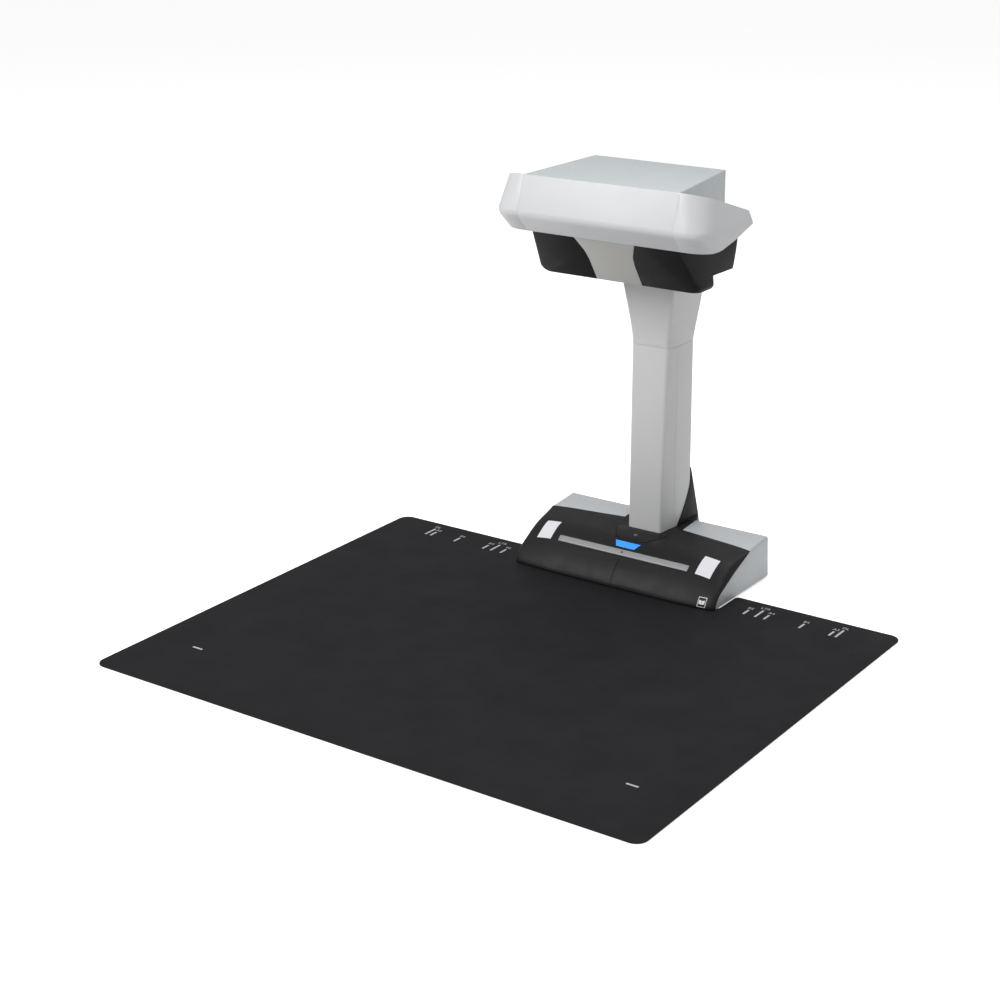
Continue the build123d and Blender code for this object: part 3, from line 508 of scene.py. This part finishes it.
def turned(name, outline, place, axis, slot, body):
    """A turned piece: (radius, height) pairs in millimetres, spun about an axis through a place."""
    shape = bmesh.new()
    angles = [2 * pi * k / TURNED_SIDES for k in range(TURNED_SIDES)]
    rows = []
    for radius, height in outline:
        rim = [(radius * MM * cos(a), radius * MM * sin(a), height * MM) for a in angles]
        rows.append([shape.verts.new(point) for point in rim])
    for lower, upper in zip(rows, rows[1:]):
        for k in range(TURNED_SIDES):
            after = (k + 1) % TURNED_SIDES
            shape.faces.new((lower[k], lower[after], upper[after], upper[k]))
    shape.faces.new(list(reversed(rows[0])))
    shape.faces.new(rows[-1])
    mesh = bpy.data.meshes.new(name)
    shape.to_mesh(mesh)
    shape.free()
    turn = Vector(axis).to_track_quat("Z", "Y").to_matrix().to_4x4()
    mesh.transform(Matrix.Translation(place) @ turn)
    mesh.shade_smooth()
    mesh.set_sharp_from_angle(angle=TURNED_SHADING_ANGLE)
    return add_piece(name, mesh, MATERIALS[slot], body)


def make_socket_details():
    """The pin of the power socket, standing on a dark seat at the bottom of the bore."""
    mount = next(m for m in frame["record"]["mounts"] if m["name"] == "dc_inlet")
    x, _, z = mount["pos_m"]
    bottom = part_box("dc_inlet")[1].y - mount["dims"]["length_mm"] * MM
    place = (x, bottom, z)
    out = (0, 1, 0)
    pin = [(0.95, -0.5), (0.95, 7.6), (0.75, 8.2), (0.3, 8.5)]
    turned("dc_pin", pin, place, out, "socket_metal", BODY_OF["dc_inlet"])
    seat = [(3.05, -0.2), (3.05, 0.3), (1.0, 0.3)]
    turned("dc_seat", seat, place, out, "component", BODY_OF["dc_inlet"])


def make_lens_details():
    """The dark iris behind the lens glass."""
    low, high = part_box("lens_barrel")
    centre = (low + high) / 2
    place = (centre.x, centre.y, low.z)
    iris = [(2.6, 3.4), (5.4, 3.4), (5.4, 3.8), (2.4, 3.8)]
    turned("lens_iris", iris, place, (0, 0, 1), "component", BODY_OF["lens_barrel"])


# ---- floor and light ----

FLOOR_HALF = 8.0
FLOOR_GAP = 0.4 * MM
FLOOR_GLOW = 0.55
SKY_SEEN = 1.0
SKY_STRENGTH = 0.42

# Each softbox: its name, its place, what it points at, its side in metres and its watts.
SOFTBOXES = [
    ("key", (-0.9, -1.5, 1.5), (0, 0.05, 0.2), 1.2, 25.0),
    ("fill", (1.6, -0.9, 0.9), (0, 0.1, 0.2), 1.2, 1.5),
    ("top", (0.1, 0.5, 1.9), (0, 0.1, 0.1), 1.4, 14.0),
]


def camera_sees(tree, seen, lit):
    """One value where the camera looks straight at a thing, and another where it lights the object."""
    path = tree.nodes.new("ShaderNodeLightPath")
    blend = tree.nodes.new("ShaderNodeMapRange")
    blend.inputs["To Min"].default_value = lit
    blend.inputs["To Max"].default_value = seen
    tree.links.new(path.outputs["Is Camera Ray"], blend.inputs["Value"])
    return blend.outputs["Result"]


def make_floor():
    """A plain white table top."""
    mesh = bpy.data.meshes.new("floor")
    corners = [(x, y, 0) for x, y in bar(-FLOOR_HALF, -FLOOR_HALF, FLOOR_HALF, FLOOR_HALF)]
    mesh.from_pydata(corners, [], [(0, 1, 2, 3)])
    floor = bpy.data.objects.new("floor", mesh)
    floor.location.z = CAD_BOX[0][2] - FLOOR_GAP
    bpy.context.scene.collection.objects.link(floor)
    surface = Surface("floor", (0.93, 0.93, 0.93), 0.7)
    surface.set("Emission Color", (1.0, 1.0, 1.0, 1.0))
    glow = camera_sees(surface.tree, FLOOR_GLOW, 0.0)
    surface.link(glow, surface.shader.inputs["Emission Strength"])
    mesh.materials.append(surface.material)


def make_light():
    """A white room and its softboxes: the main one at the front left, a weak one right, one above."""
    world = bpy.data.worlds.new("studio")
    world.use_nodes = True
    background = world.node_tree.nodes["Background"]
    background.inputs["Color"].default_value = (1.0, 1.0, 1.0, 1.0)
    strength = camera_sees(world.node_tree, SKY_SEEN, SKY_STRENGTH)
    world.node_tree.links.new(strength, background.inputs["Strength"])
    bpy.context.scene.world = world
    for softbox in SOFTBOXES:
        add_light(*softbox)
    bpy.context.scene.view_settings.view_transform = "Standard"


def add_light(name, place, target, size, power):
    """A square softbox."""
    data = bpy.data.lights.new(name, "AREA")
    data.size = size
    data.energy = power
    light = bpy.data.objects.new(name, data)
    bpy.context.scene.collection.objects.link(light)
    light.location = place
    light.rotation_euler = (Vector(target) - Vector(place)).to_track_quat("-Z", "Y").to_euler()


def paint_frame():
    """Gives every CAD node its finished material."""
    for name, node in NODES.items():
        node.data.materials.clear()
        node.data.materials.append(MATERIALS[SLOT_OF[name]])


MATERIALS = {slot: surface.material for slot, surface in make_materials().items()}
make_camera()
make_floor()
make_light()
paint_frame()
for node_name, edge in SOFTENED.items():
    softened(node_name, edge * MM)
make_labels()
make_symbols()
make_socket_details()
make_lens_details()
